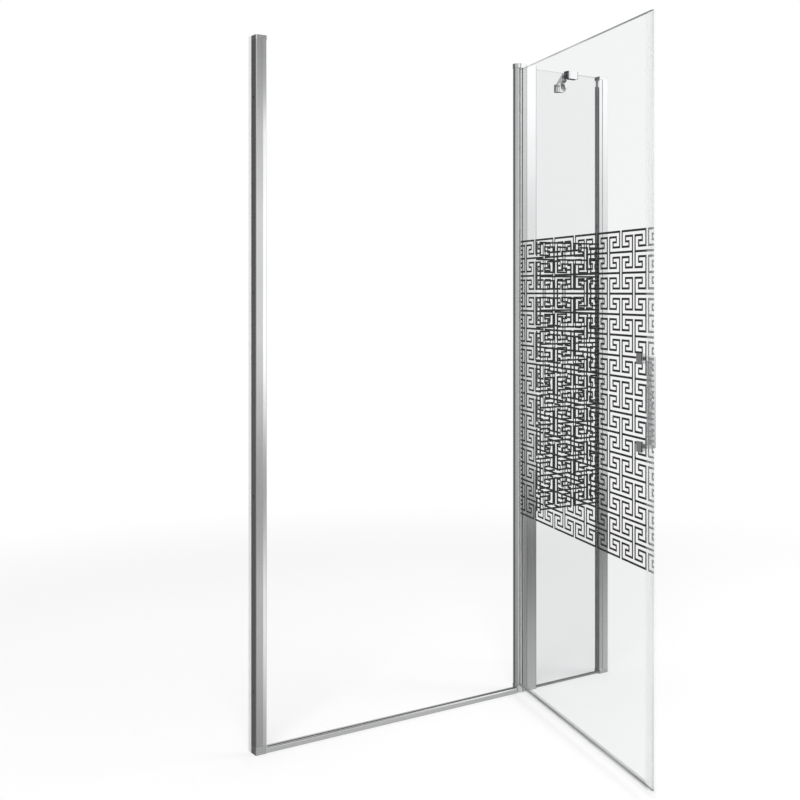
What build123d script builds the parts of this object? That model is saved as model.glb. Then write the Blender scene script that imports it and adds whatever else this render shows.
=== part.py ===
"""Pivot shower door with a fixed side panel, fitted in a niche between two walls.

Millimetres, +Z up.  The origin lies on the underside of the threshold, midway between the
walls, in the vertical plane of the closed door glass.  +X runs to the hinge side, +Y into
the shower.  The door is modelled as it stands in the photograph, part open.
"""
from build123d import *
import os
from math import cos, sin, radians, hypot

os.makedirs("parts", exist_ok=True)

# The niche and the heights
niche_width = 1200.0
strike_height = 1839.0
post_height = 1844.0
right_above = 3.0           # right post above the top of the fixed glass

# Clearances
slide_gap = 0.2             # between a wall channel and the profile that slides in it
plug_gap = 0.2              # moulded plug in its tube
butt_gap = 0.2              # profiles that end against each other
running_gap = 0.05          # pin in its bush, on the radius
washer_gap = 0.1            # pivot washer under the hinge profile
seat_gap = 1.2              # hinge profile in the hollow of the pivot post
magnet_gap = 0.3            # between the two magnet strips when closed
hole_gap = 0.05             # stud or pin in a fixed hole, on the radius

# Extruded walls
channel_wall = 1.5
profile_wall = 1.5
corner_radius = 3.0

# Strike side: wall channel and the profile nested in it
strike_front = -18.0
strike_depth = 30.0
channel_width = 20.0        # how far the channel stands off its wall
strike_width = 31.5         # how far the strike profile stands off its wall
strike_overlap = 12.0       # length of the strike profile's legs inside the channel
top_cap_height = 12.0
bottom_cap_height = 20.0
cap_plug = 12.0             # depth of a cap's plug
cap_chamfer = 0.8
cap_groove = 0.6
magnet_pocket = 9.4         # width inside the pocket of the magnet strip
magnet_depth = 6.0
magnet_mouth = 6.4
magnet_nose = 1.0
wall_seal_width = 14.0
wall_seal_thick = 3.0

# Holes for the wall screws, two pairs on each channel
wall_hole_radius = 2.75
wall_hole_pitch = 520.0     # between the inner pair, about the middle
wall_hole_end = 159.5       # from each end to the outer pair

# Small screws that lock a profile in its channel
lock_radius = 1.75
lock_head_radius = 3.5
lock_head = 2.0
lock_length = 6.0
lock_end = 110.0            # from each end of the post
lock_setback = 10.75        # from the wall

# Threshold
sill_front = -16.0
sill_depth = 20.0
sill_height = 15.0
sill_round = 4.0
sill_wall = 1.4
sill_gasket_width = 4.0
sill_gasket_height = 3.0
sill_gasket_proud = 1.3
sill_gasket_setback = 3.4

# Pivot
pivot_setback = 342.0       # from the hinge side's wall to the pivot
open_angle = 74.5           # how far the door stands open
hinge_radius = 14.5
hinge_wall = 1.9
pin_radius = 3.0
pin_in_block = 9.0
pin_in_bush = 17.0
bush_length = 20.0
washer_radius = 12.0
washer_thick = 0.9
bottom_block_height = 22.0
top_block_height = 13.0
block_key_width = 4.0       # key of the bottom block in the post
block_key_depth = 1.8
post_front = -16.0
post_back = 15.0
post_horn = 7.0             # the post's lips begin this far past the pivot
post_width = 14.2
port_radius = 2.1           # screw ports at the ends of the post
port_inset = 3.8
block_screw_radius = 1.9
block_screw_length = 24.0
block_head_radius = 3.4
block_head = 2.2
tongue_width = 4.0
tongue_depth = 2.0

# Glass and gaskets
glass = 6.0
gasket = 1.2
door_glass_bottom = 24.0
door_glass_drop = 7.0       # top of the post to the top of the pane
pocket_back = 6.2           # where the hinge's glass pocket begins, from the pivot
pocket_wall = 1.4
gasket_proud = 0.4

# Fixed panel
panel_y = -5.0              # middle of the fixed glass
panel_glass_bottom = 3.0
panel_glass_drop = 10.0     # top of the profile to the top of the pane
panel_front_width = 36.6
panel_back_width = 30.6
panel_depth = 20.0
panel_pocket = 24.0
panel_bite = 21.5           # glass inside the profile
panel_cap = 1.5
panel_seal_height = 5.0

# Right wall channel and the glass profile nested in it
right_front = -18.0
right_depth = 24.0
right_channel_width = 22.0
right_width = 35.0
right_overlap = 14.0
right_pocket = 18.0
right_bite = 16.5
right_top_cap_height = 10.0
right_bottom_cap_height = 12.0

# Seals on the door leaf
seal_wall = 1.0
magnet_seal_inner = 22.5    # the free-edge seal's legs on the glass
magnet_seal_outer = 42.5
magnet_seal_bottom = 20.0
magnet_seal_drop = 3.0      # top of the pane to the top of the seal
magnet_width = 9.0
magnet_bulb = 4.7           # how far the magnet stands off the clip
sweep_start = 20.0
sweep_top = 32.0
sweep_lip = 17.0
sweep_lip_lean = 3.0

# Handle
handle_inset = 56.0         # free edge of the glass to the handle's middle
handle_low = 816.0
handle_pitch = 208.0
handle_width = 25.0
handle_leg = 8.0
handle_inner = 20.5         # inner face of the bar, from the middle of the glass
handle_thick = 11.5
handle_round = 2.0
handle_plate = 4.0
handle_pad = 0.6
glass_hole_radius = 6.0
stud_radius = 2.95
stud_in_leg = 11.0
stud_in_plate = 3.0

# Brace from the fixed glass to the side wall
clamp_setback = 139.0       # from the side wall
clamp_width = 40.0
clamp_below = 15.5          # below and above the top of the fixed pane
clamp_above = 7.5
clamp_front_jaw = 5.0
clamp_back_jaw = 8.0
clamp_pad = 1.0
clamp_round = 2.0
clamp_slit = 1.0
clamp_screw_radius = 3.0
knuckle_radius = 9.0
knuckle_reach = 20.0        # from the back jaw to the knuckle's pin
knuckle_lift = 6.5          # lug above the clamp's lower face
knuckle_height = 8.0
fork_gap = 0.2
arm_width = 14.0
arm_drop = 1.0              # below the clamp's top
arm_end_height = 7.0
arm_fork_length = 14.0
brace_pin_radius = 3.0
foot_y = 196.7
foot_drop = 7.5             # arm's top to the middle of the flange
foot_radius = 14.0
foot_thick = 5.0
foot_hole_radius = 2.6
foot_standoff = 25.0        # wall to the drum's axis
drum_radius = 12.0
drum_height = 17.0
neck_width = 12.0
neck_height = 10.0

# Positions that follow from the sizes
left_wall = -niche_width / 2
right_wall = niche_width / 2
pivot_x = right_wall - pivot_setback
strike_face = left_wall + strike_width
strike_mid = strike_front + strike_depth / 2
strike_back = strike_front + strike_depth
nested_depth = strike_depth - 2 * channel_wall - 2 * slide_gap
strike_bottom = bottom_cap_height
strike_top = strike_height - top_cap_height
seat_radius = hinge_radius + seat_gap
block_radius = seat_radius - plug_gap
post_left = pivot_x + post_horn
post_right = post_left + post_width
post_mid = (post_front + post_back) / 2
hinge_bottom = bottom_block_height + washer_thick + washer_gap
hinge_top = post_height - washer_thick - washer_gap
half_glass = glass / 2
half_pocket = half_glass + gasket
door_glass_top = post_height - door_glass_drop
panel_height = post_height + top_block_height
panel_glass_top = panel_height - panel_glass_drop
panel_left = post_right + butt_gap
panel_right = panel_left + panel_front_width
panel_back = sill_front + panel_depth
panel_glass_left = panel_right - panel_bite
right_height = panel_glass_top + right_above
right_mid = right_front + right_depth / 2
right_back = right_front + right_depth
right_face = right_wall - right_width
right_glass_end = right_face + right_bite
right_nested = right_depth - 2 * channel_wall - 2 * slide_gap
right_bottom = right_bottom_cap_height
right_top = right_height - right_top_cap_height
seal_tip = pivot_x - (strike_face + magnet_nose) - magnet_gap
door_glass_reach = seal_tip - magnet_bulb - seal_wall
seal_inner = door_glass_reach - magnet_seal_inner
seal_outer = door_glass_reach - magnet_seal_outer
handle_reach = door_glass_reach - handle_inset
handle_heights = [handle_low, handle_low + handle_pitch]
clamp_x = right_wall - clamp_setback
clamp_bottom = panel_glass_top - clamp_below
clamp_top = panel_glass_top + clamp_above
arm_top = clamp_top - arm_drop
arm_bottom = clamp_bottom
knuckle_bottom = clamp_bottom + knuckle_lift
foot_z = arm_top - foot_drop

# The leaf's own planes: along the leaf, square to the leaf, and face on from inside
along = (-cos(radians(open_angle)), -sin(radians(open_angle)), 0)
outward = (sin(radians(open_angle)), -cos(radians(open_angle)), 0)
inward = (-outward[0], -outward[1], 0)
leaf = Plane(origin=(pivot_x, 0, 0), x_dir=along, z_dir=(0, 0, 1))
leaf_end = Plane(origin=(pivot_x, 0, 0), x_dir=outward, z_dir=along)
leaf_face = Plane(origin=(pivot_x, 0, 0), x_dir=along, z_dir=inward)


# Strike wall channel: a U screwed to the wall, its legs towards the door, drilled for the wall
# screws and for the lock screws.
with BuildPart() as strike_wall_channel:
    with BuildSketch(Plane.XY.offset(strike_bottom)) as section:
        with Locations((left_wall, strike_mid)):
            Rectangle(channel_width, strike_depth, align=(Align.MIN, Align.CENTER))
        fillet(section.vertices().group_by(Axis.X)[0], corner_radius)
        with Locations((left_wall + channel_wall, strike_mid)):
            Rectangle(
                channel_width,
                strike_depth - 2 * channel_wall,
                align=(Align.MIN, Align.CENTER),
                mode=Mode.SUBTRACT,
            )
    extrude(amount=strike_top - strike_bottom)
    with BuildSketch(Plane.YZ.offset(left_wall)):
        with Locations((strike_mid, strike_height / 2)):
            with GridLocations(1, wall_hole_pitch, 1, 2):
                Circle(wall_hole_radius)
            with GridLocations(1, strike_height - 2 * wall_hole_end, 1, 2):
                Circle(wall_hole_radius)
    extrude(amount=channel_wall, mode=Mode.SUBTRACT)
    with BuildSketch(Plane.XZ.offset(-strike_back)):
        with Locations((left_wall + lock_setback, strike_height / 2)):
            with GridLocations(1, strike_height - 2 * lock_end, 1, 2):
                Circle(lock_radius + hole_gap)
    extrude(amount=channel_wall, mode=Mode.SUBTRACT)
strike_wall_channel.part.label = "strike_wall_channel"
export_step(strike_wall_channel.part, "parts/strike_wall_channel.step")


# Strike profile: slides in the channel to take up the width, with a lipped pocket for the
# magnet strip in the plane of the closed door.
with BuildPart() as strike_profile:
    with BuildSketch(Plane.XY.offset(strike_bottom)) as section:
        profile_length = strike_width - channel_width + strike_overlap
        with Locations((strike_face, strike_mid)):
            Rectangle(profile_length, nested_depth, align=(Align.MAX, Align.CENTER))
        fillet(section.vertices().group_by(Axis.X)[-1], profile_wall)
        with Locations((strike_face - profile_wall, strike_mid)):
            Rectangle(
                profile_length,
                nested_depth - 2 * profile_wall,
                align=(Align.MAX, Align.CENTER),
                mode=Mode.SUBTRACT,
            )
        with Locations((strike_face, 0)):
            Rectangle(
                magnet_depth + 2 * profile_wall,
                magnet_pocket + 2 * profile_wall,
                align=(Align.MAX, Align.CENTER),
            )
            Rectangle(
                2 * profile_wall, magnet_mouth, align=(Align.MAX, Align.CENTER), mode=Mode.SUBTRACT
            )
        with Locations((strike_face - profile_wall, 0)):
            Rectangle(
                magnet_depth, magnet_pocket, align=(Align.MAX, Align.CENTER), mode=Mode.SUBTRACT
            )
    extrude(amount=strike_top - strike_bottom)
    with BuildSketch(Plane.XZ.offset(-strike_back)):
        with Locations((left_wall + lock_setback, strike_height / 2)):
            with GridLocations(1, strike_height - 2 * lock_end, 1, 2):
                Circle(lock_radius + hole_gap)
    extrude(amount=channel_wall + slide_gap + profile_wall, mode=Mode.SUBTRACT)
strike_profile.part.label = "strike_profile"
export_step(strike_profile.part, "parts/strike_profile.step")


# Strike magnet strip: a T that is held by the pocket's lips, its nose proud of the profile.
with BuildPart() as strike_magnet_strip:
    with BuildSketch(Plane.XY.offset(strike_bottom)):
        with Locations((strike_face - profile_wall - plug_gap, 0)):
            Rectangle(
                magnet_depth - 2 * plug_gap,
                magnet_pocket - 2 * plug_gap,
                align=(Align.MAX, Align.CENTER),
            )
        with Locations((strike_face + magnet_nose, 0)):
            Rectangle(
                magnet_nose + profile_wall + 2 * plug_gap,
                magnet_mouth - 2 * plug_gap,
                align=(Align.MAX, Align.CENTER),
            )
            Rectangle(magnet_nose, magnet_width, align=(Align.MAX, Align.CENTER))
    extrude(amount=strike_top - strike_bottom)
strike_magnet_strip.part.label = "strike_magnet_strip"
export_step(strike_magnet_strip.part, "parts/strike_magnet_strip.step")


def strike_cap(name, base, height, plug_base, grooves, rim):
    """An end cap over channel and profile, with a plug inside them."""
    with BuildPart() as cap:
        with BuildSketch(Plane.XY.offset(base)) as section:
            with Locations((left_wall, strike_mid)):
                Rectangle(strike_width, strike_depth, align=(Align.MIN, Align.CENTER))
            fillet(section.vertices().group_by(Axis.X)[0], corner_radius)
            fillet(section.vertices().group_by(Axis.X)[-1], profile_wall)
        extrude(amount=height)
        if rim:
            chamfer(cap.edges().group_by(Axis.Z)[-1], cap_chamfer)
        for groove in grooves:
            with BuildSketch(Plane.XY.offset(base + groove)):
                with Locations((left_wall + strike_width / 2, strike_mid)):
                    Rectangle(strike_width, strike_depth)
                    Rectangle(
                        strike_width - 2 * cap_groove,
                        strike_depth - 2 * cap_groove,
                        mode=Mode.SUBTRACT,
                    )
            extrude(amount=cap_groove, mode=Mode.SUBTRACT)
        with BuildSketch(Plane.XY.offset(plug_base)):
            with Locations((left_wall + channel_width - strike_overlap + cap_chamfer, strike_mid)):
                Rectangle(
                    strike_width
                    - channel_width
                    + strike_overlap
                    - magnet_depth
                    - 2 * profile_wall
                    - 2 * cap_chamfer,
                    nested_depth - 2 * profile_wall - 2 * cap_chamfer,
                    align=(Align.MIN, Align.CENTER),
                )
        extrude(amount=cap_plug)
    cap.part.label = name
    export_step(cap.part, "parts/" + name + ".step")


# Strike end caps: the lower one has two shallow rings, the upper one a chamfered rim.
groove_pitch = bottom_cap_height / 3
strike_cap(
    "strike_bottom_cap",
    0,
    bottom_cap_height,
    bottom_cap_height,
    [groove_pitch, 2 * groove_pitch],
    False,
)
strike_cap(
    "strike_top_cap",
    strike_top,
    top_cap_height,
    strike_top - cap_plug,
    [top_cap_height / 2],
    True,
)


def lock_screws(name, x, back, height):
    """Pan-head screws through the channel's inner leg into the nested profile."""
    with BuildPart() as screws:
        with BuildSketch(Plane.XZ.offset(-back - lock_head)):
            with Locations((x, height / 2)):
                with GridLocations(1, height - 2 * lock_end, 1, 2):
                    RegularPolygon(lock_head_radius, 12)
        extrude(amount=lock_head)
        with BuildSketch(Plane.XZ.offset(-back)):
            with Locations((x, height / 2)):
                with GridLocations(1, height - 2 * lock_end, 1, 2):
                    RegularPolygon(lock_radius, 8)
        extrude(amount=lock_length)
    screws.part.label = name
    export_step(screws.part, "parts/" + name + ".step")


lock_screws("strike_lock_screws", left_wall + lock_setback, strike_back, strike_height)
lock_screws("right_lock_screws", right_wall - lock_setback, right_back, right_height)


# Wall seal strip: a pale soft strip behind the channel, along the wall.
with BuildPart() as wall_seal_strip:
    with BuildSketch() as section:
        with Locations((left_wall, strike_back)):
            Rectangle(wall_seal_thick, wall_seal_width, align=(Align.MIN, Align.MIN))
        fillet(section.vertices().group_by(Axis.Y)[-1].sort_by(Axis.X)[-1], wall_seal_thick - 0.5)
    extrude(amount=strike_height)
wall_seal_strip.part.label = "wall_seal_strip"
export_step(wall_seal_strip.part, "parts/wall_seal_strip.step")


# Threshold strip: a hollow sill from the strike post to the pivot block, with a groove in its
# top for the gasket.
sill_left = strike_face + butt_gap
sill_right = pivot_x - block_radius - butt_gap
with BuildPart() as threshold_strip:
    with BuildSketch(Plane.YZ.offset(sill_left)) as section:
        with Locations((sill_front, 0)):
            Rectangle(sill_depth, sill_height, align=(Align.MIN, Align.MIN))
        fillet(section.vertices().group_by(Axis.Y)[-1], sill_round)
        with Locations((sill_front + sill_gasket_setback, sill_height)):
            Rectangle(
                sill_gasket_width,
                sill_gasket_height - sill_gasket_proud,
                align=(Align.MIN, Align.MAX),
                mode=Mode.SUBTRACT,
            )
        with Locations((sill_front + sill_wall, sill_wall)):
            Rectangle(
                sill_depth - 2 * sill_wall,
                sill_height - 2 * sill_wall - sill_gasket_height,
                align=(Align.MIN, Align.MIN),
                mode=Mode.SUBTRACT,
            )
    extrude(amount=sill_right - sill_left)
threshold_strip.part.label = "threshold_strip"
export_step(threshold_strip.part, "parts/threshold_strip.step")


# Threshold gasket: a dark rubber line let into the sill's top, with a rounded crown.
with BuildPart() as threshold_gasket:
    with BuildSketch(Plane.YZ.offset(sill_left)) as section:
        with Locations((sill_front + sill_gasket_setback, sill_height + sill_gasket_proud)):
            Rectangle(sill_gasket_width, sill_gasket_height, align=(Align.MIN, Align.MAX))
        fillet(section.vertices().group_by(Axis.Y)[-1], sill_gasket_proud - 0.1)
    extrude(amount=sill_right - sill_left)
threshold_gasket.part.label = "threshold_gasket"
export_step(threshold_gasket.part, "parts/threshold_gasket.step")


# Pivot post: an extrusion with a round hollow in which the hinge profile turns, two screw
# ports, and a groove that takes the panel profile's tongue.
port_places = [
    (post_right - port_inset, post_front + port_inset),
    (post_right - port_inset, post_back - port_inset),
]
with BuildPart() as pivot_post:
    with BuildSketch() as section:
        with Locations((post_left, post_mid)):
            Rectangle(post_width, post_back - post_front, align=(Align.MIN, Align.CENTER))
        fillet(section.vertices().group_by(Axis.X)[0], 0.8)
        with Locations((pivot_x, 0)):
            Circle(seat_radius, mode=Mode.SUBTRACT)
        with Locations((post_right, panel_y)):
            Rectangle(
                tongue_depth, tongue_width, align=(Align.MAX, Align.CENTER), mode=Mode.SUBTRACT
            )
        with Locations(port_places):
            Circle(port_radius, mode=Mode.SUBTRACT)
    extrude(amount=post_height)
    with BuildSketch():
        with Locations((pivot_x, 0)):
            Rectangle(
                block_radius + block_key_depth + plug_gap,
                block_key_width + 2 * plug_gap,
                align=(Align.MIN, Align.CENTER),
            )
    extrude(amount=bottom_block_height, mode=Mode.SUBTRACT)
pivot_post.part.label = "pivot_post"
export_step(pivot_post.part, "parts/pivot_post.step")


# Top pivot block: caps the post and carries the upper pin over the hinge profile.
head_seat = post_height + top_block_height - block_head - butt_gap
with BuildPart() as top_pivot_block:
    with BuildSketch(Plane.XY.offset(post_height)):
        with Locations((pivot_x, 0)):
            Circle(block_radius)
        with Locations((post_right, post_mid)):
            Rectangle(
                post_right - pivot_x, post_back - post_front, align=(Align.MAX, Align.CENTER)
            )
    extrude(amount=top_block_height)
    chamfer(top_pivot_block.edges().group_by(Axis.Z)[-1], cap_chamfer)
    with BuildSketch(Plane.XY.offset(post_height)):
        with Locations((pivot_x, 0)):
            Circle(pin_radius)
    extrude(amount=pin_in_block, mode=Mode.SUBTRACT)
    with BuildSketch(Plane.XY.offset(post_height)):
        with Locations(port_places):
            RegularPolygon(block_screw_radius + hole_gap, 8)
    extrude(amount=top_block_height, mode=Mode.SUBTRACT)
    with BuildSketch(Plane.XY.offset(head_seat)):
        with Locations(port_places):
            RegularPolygon(block_head_radius + hole_gap, 12)
    extrude(amount=block_head + butt_gap, mode=Mode.SUBTRACT)
top_pivot_block.part.label = "top_pivot_block"
export_step(top_pivot_block.part, "parts/top_pivot_block.step")


# Bottom pivot block: stands in the post's hollow, keyed in a slot milled in the post, and
# carries the lower pin.
with BuildPart() as bottom_pivot_block:
    with BuildSketch():
        with Locations((pivot_x, 0)):
            Circle(block_radius)
            Rectangle(
                block_radius + block_key_depth, block_key_width, align=(Align.MIN, Align.CENTER)
            )
    extrude(amount=bottom_block_height)
    with BuildSketch(Plane.XY.offset(bottom_block_height - pin_in_block)):
        with Locations((pivot_x, 0)):
            Circle(pin_radius)
    extrude(amount=pin_in_block, mode=Mode.SUBTRACT)
bottom_pivot_block.part.label = "bottom_pivot_block"
export_step(bottom_pivot_block.part, "parts/bottom_pivot_block.step")


# Pivot pins: one pressed in each block, reaching into the hinge profile's bushes.
with BuildPart() as pivot_pins:
    with BuildSketch(Plane.XY.offset(bottom_block_height - pin_in_block)):
        with Locations((pivot_x, 0)):
            Circle(pin_radius)
    extrude(amount=pin_in_block + washer_thick + washer_gap + pin_in_bush)
    with BuildSketch(Plane.XY.offset(post_height + pin_in_block)):
        with Locations((pivot_x, 0)):
            Circle(pin_radius)
    extrude(amount=-(pin_in_block + washer_thick + washer_gap + pin_in_bush))
    rims = pivot_pins.edges().filter_by(GeomType.CIRCLE).sort_by(Axis.Z)
    chamfer(rims[1:3], 0.5)
pivot_pins.part.label = "pivot_pins"
export_step(pivot_pins.part, "parts/pivot_pins.step")


# Pivot washers: nylon rings between each block and the hinge profile.
with BuildPart() as pivot_washers:
    for level in (bottom_block_height, post_height - washer_thick):
        with BuildSketch(Plane.XY.offset(level)):
            with Locations((pivot_x, 0)):
                Circle(washer_radius)
                Circle(pin_radius + butt_gap, mode=Mode.SUBTRACT)
        extrude(amount=washer_thick)
pivot_washers.part.label = "pivot_washers"
export_step(pivot_washers.part, "parts/pivot_washers.step")


# Block screws: two down through the top block into the post's ports.
with BuildPart() as pivot_block_screws:
    with BuildSketch(Plane.XY.offset(head_seat)):
        with Locations(port_places):
            RegularPolygon(block_head_radius, 12)
    extrude(amount=block_head)
    with BuildSketch(Plane.XY.offset(head_seat)):
        with Locations(port_places):
            RegularPolygon(block_screw_radius, 8)
    extrude(amount=-block_screw_length)
pivot_block_screws.part.label = "pivot_block_screws"
export_step(pivot_block_screws.part, "parts/pivot_block_screws.step")


# Hinge profile: a round extrusion that turns on the pins, with the glass pocket inside it.
with BuildPart() as hinge_profile:
    with BuildSketch(leaf.offset(hinge_bottom)):
        Circle(hinge_radius)
        Circle(hinge_radius - hinge_wall, mode=Mode.SUBTRACT)
        with Locations((pocket_back - pocket_wall, 0)):
            Rectangle(
                hinge_radius - hinge_wall - pocket_back + pocket_wall,
                2 * (half_pocket + pocket_wall),
                align=(Align.MIN, Align.CENTER),
            )
        with Locations((pocket_back, 0)):
            Rectangle(
                hinge_radius, 2 * half_pocket, align=(Align.MIN, Align.CENTER), mode=Mode.SUBTRACT
            )
    extrude(amount=hinge_top - hinge_bottom)
hinge_profile.part.label = "hinge_profile"
export_step(hinge_profile.part, "parts/hinge_profile.step")


# Hinge bushes: nylon plugs in both ends of the hinge profile, bored for the pins and cut away
# round the glass pocket.
with BuildPart() as hinge_bushes:
    for level in (hinge_bottom, hinge_top - bush_length):
        with BuildSketch(leaf.offset(level)):
            Circle(hinge_radius - hinge_wall - plug_gap)
            Circle(pin_radius + running_gap, mode=Mode.SUBTRACT)
            with Locations((pocket_back - pocket_wall - plug_gap, 0)):
                Rectangle(
                    hinge_radius,
                    2 * (half_pocket + pocket_wall + plug_gap),
                    align=(Align.MIN, Align.CENTER),
                    mode=Mode.SUBTRACT,
                )
        extrude(amount=bush_length)
hinge_bushes.part.label = "hinge_bushes"
export_step(hinge_bushes.part, "parts/hinge_bushes.step")


# Hinge gasket: a U of soft rubber round the glass edge, its lips just proud of the profile.
with BuildPart() as hinge_gasket:
    with BuildSketch(leaf.offset(door_glass_bottom)):
        with Locations((pocket_back, 0)):
            Rectangle(
                hinge_radius + gasket_proud - pocket_back,
                2 * half_pocket,
                align=(Align.MIN, Align.CENTER),
            )
        with Locations((pocket_back + gasket, 0)):
            Rectangle(hinge_radius, glass, align=(Align.MIN, Align.CENTER), mode=Mode.SUBTRACT)
    extrude(amount=door_glass_top - door_glass_bottom)
hinge_gasket.part.label = "hinge_gasket"
export_step(hinge_gasket.part, "parts/hinge_gasket.step")


# Door glass: a toughened pane with two holes for the handle.
with BuildPart() as door_glass:
    with BuildSketch(leaf.offset(door_glass_bottom)):
        with Locations((pocket_back + gasket, 0)):
            Rectangle(
                door_glass_reach - pocket_back - gasket, glass, align=(Align.MIN, Align.CENTER)
            )
    extrude(amount=door_glass_top - door_glass_bottom)
    with BuildSketch(leaf_face.offset(-glass)):
        with Locations([(handle_reach, z) for z in handle_heights]):
            Circle(glass_hole_radius)
    extrude(amount=2 * glass, mode=Mode.SUBTRACT)
door_glass.part.label = "door_glass"
export_step(door_glass.part, "parts/door_glass.step")


# Free-edge seal: clear clip on the glass with one leg longer, and the magnet at its tip.
seal_half = half_glass + seal_wall
with BuildPart() as free_edge_seal:
    with BuildSketch(leaf.offset(magnet_seal_bottom)) as section:
        with Locations((seal_inner, -seal_half)):
            Rectangle(magnet_seal_inner + seal_wall, seal_half, align=(Align.MIN, Align.MIN))
        with Locations((seal_outer, 0)):
            Rectangle(magnet_seal_outer + seal_wall, seal_half, align=(Align.MIN, Align.MIN))
        with Locations((door_glass_reach + seal_wall, 0)):
            Rectangle(magnet_bulb, magnet_width, align=(Align.MIN, Align.CENTER))
        with Locations((door_glass_reach, 0)):
            Rectangle(
                door_glass_reach, glass, align=(Align.MAX, Align.CENTER), mode=Mode.SUBTRACT
            )
    extrude(amount=door_glass_top - magnet_seal_drop - magnet_seal_bottom)
free_edge_seal.part.label = "free_edge_seal"
export_step(free_edge_seal.part, "parts/free_edge_seal.step")


# Bottom sweep seal: clips on the pane's lower edge and leans a drip lip outwards over the
# sill; cut back where the free-edge seal's outer leg comes down.
sweep_end = seal_inner - butt_gap
with BuildPart() as bottom_sweep_seal:
    with BuildSketch(leaf_end.offset(sweep_start)):
        with Locations((0, door_glass_bottom - seal_wall)):
            Rectangle(
                2 * seal_half,
                sweep_top - door_glass_bottom + seal_wall,
                align=(Align.CENTER, Align.MIN),
            )
        with Locations((0, door_glass_bottom)):
            Rectangle(glass, sweep_top, align=(Align.CENTER, Align.MIN), mode=Mode.SUBTRACT)
        with BuildLine():
            Polyline(
                (seal_half, door_glass_bottom),
                (seal_half + sweep_lip_lean, sweep_lip),
                (seal_half + sweep_lip_lean - 1.2 * seal_wall, sweep_lip),
                (seal_half - seal_wall, door_glass_bottom - seal_wall),
                close=True,
            )
        make_face()
        with BuildLine():
            Polyline(
                (-half_glass, door_glass_bottom),
                (-half_glass, sweep_lip + seal_wall),
                (-half_glass + seal_wall, sweep_lip + seal_wall),
                (-half_glass + seal_wall, door_glass_bottom),
                close=True,
            )
        make_face()
    extrude(amount=sweep_end - sweep_start)
    with BuildSketch(leaf_end.offset(seal_outer - butt_gap)):
        with Locations((half_glass, magnet_seal_bottom - butt_gap)):
            Rectangle(2 * seal_half, sweep_top, align=(Align.MIN, Align.MIN))
    extrude(amount=sweep_end, mode=Mode.SUBTRACT)
bottom_sweep_seal.part.label = "bottom_sweep_seal"
export_step(bottom_sweep_seal.part, "parts/bottom_sweep_seal.step")


# Handle bar: a flat bar and two thinner legs in one piece, on the outside of the door.
handle_foot = half_glass + handle_pad
handle_bottom = handle_low - handle_leg / 2
handle_length = handle_pitch + handle_leg
with BuildPart() as handle_bar:
    with BuildSketch(leaf_end.offset(handle_reach - handle_width / 2)) as section:
        with Locations((handle_foot, handle_bottom)):
            Rectangle(
                handle_inner + handle_thick - handle_foot,
                handle_length,
                align=(Align.MIN, Align.MIN),
            )
        fillet(section.vertices().group_by(Axis(leaf_end.origin, outward))[-1], handle_round)
        with Locations((handle_foot, handle_bottom + handle_leg)):
            Rectangle(
                handle_inner - handle_foot,
                handle_pitch - handle_leg,
                align=(Align.MIN, Align.MIN),
                mode=Mode.SUBTRACT,
            )
    extrude(amount=handle_width)
    outer_rim = handle_bar.faces().sort_by(Axis(leaf_end.origin, outward))[-1]
    chamfer(outer_rim.edges().filter_by(Axis.Z), handle_round / 2)
    with BuildSketch(leaf_face.offset(-handle_foot)):
        with Locations([(handle_reach, z) for z in handle_heights]):
            Circle(stud_radius + hole_gap)
    extrude(amount=-stud_in_leg - 1, mode=Mode.SUBTRACT)
handle_bar.part.label = "handle_bar"
export_step(handle_bar.part, "parts/handle_bar.step")


# Handle plates: square plates on the inside, with a blind hole for the stud.
with BuildPart() as handle_plates:
    with BuildSketch(leaf_face.offset(handle_foot)):
        with Locations([(handle_reach, z) for z in handle_heights]):
            Rectangle(handle_width, handle_width)
    extrude(amount=handle_plate)
    inner_rims = handle_plates.faces().group_by(Axis(leaf_face.origin, inward))[-1]
    chamfer(inner_rims.edges(), 0.5)
    with BuildSketch(leaf_face.offset(handle_foot)):
        with Locations([(handle_reach, z) for z in handle_heights]):
            Circle(stud_radius + hole_gap)
    extrude(amount=stud_in_plate, mode=Mode.SUBTRACT)
handle_plates.part.label = "handle_plates"
export_step(handle_plates.part, "parts/handle_plates.step")


# Handle studs: steel rods from the plates through the glass into the legs.
with BuildPart() as handle_studs:
    with BuildSketch(leaf_face.offset(handle_foot + stud_in_plate)):
        with Locations([(handle_reach, z) for z in handle_heights]):
            RegularPolygon(stud_radius, 12)
    extrude(amount=-(stud_in_plate + 2 * handle_foot + stud_in_leg))
handle_studs.part.label = "handle_studs"
export_step(handle_studs.part, "parts/handle_studs.step")


# Handle washers: clear square pads against both glass faces.
with BuildPart() as handle_washers:
    for side in (-1, 1):
        with BuildSketch(leaf_face.offset(side * half_glass)):
            with Locations([(handle_reach, z) for z in handle_heights]):
                Rectangle(handle_width - 1, handle_width - 1)
                RegularPolygon(stud_radius + hole_gap, 12, mode=Mode.SUBTRACT)
        extrude(amount=side * handle_pad)
handle_washers.part.label = "handle_washers"
export_step(handle_washers.part, "parts/handle_washers.step")


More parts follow.
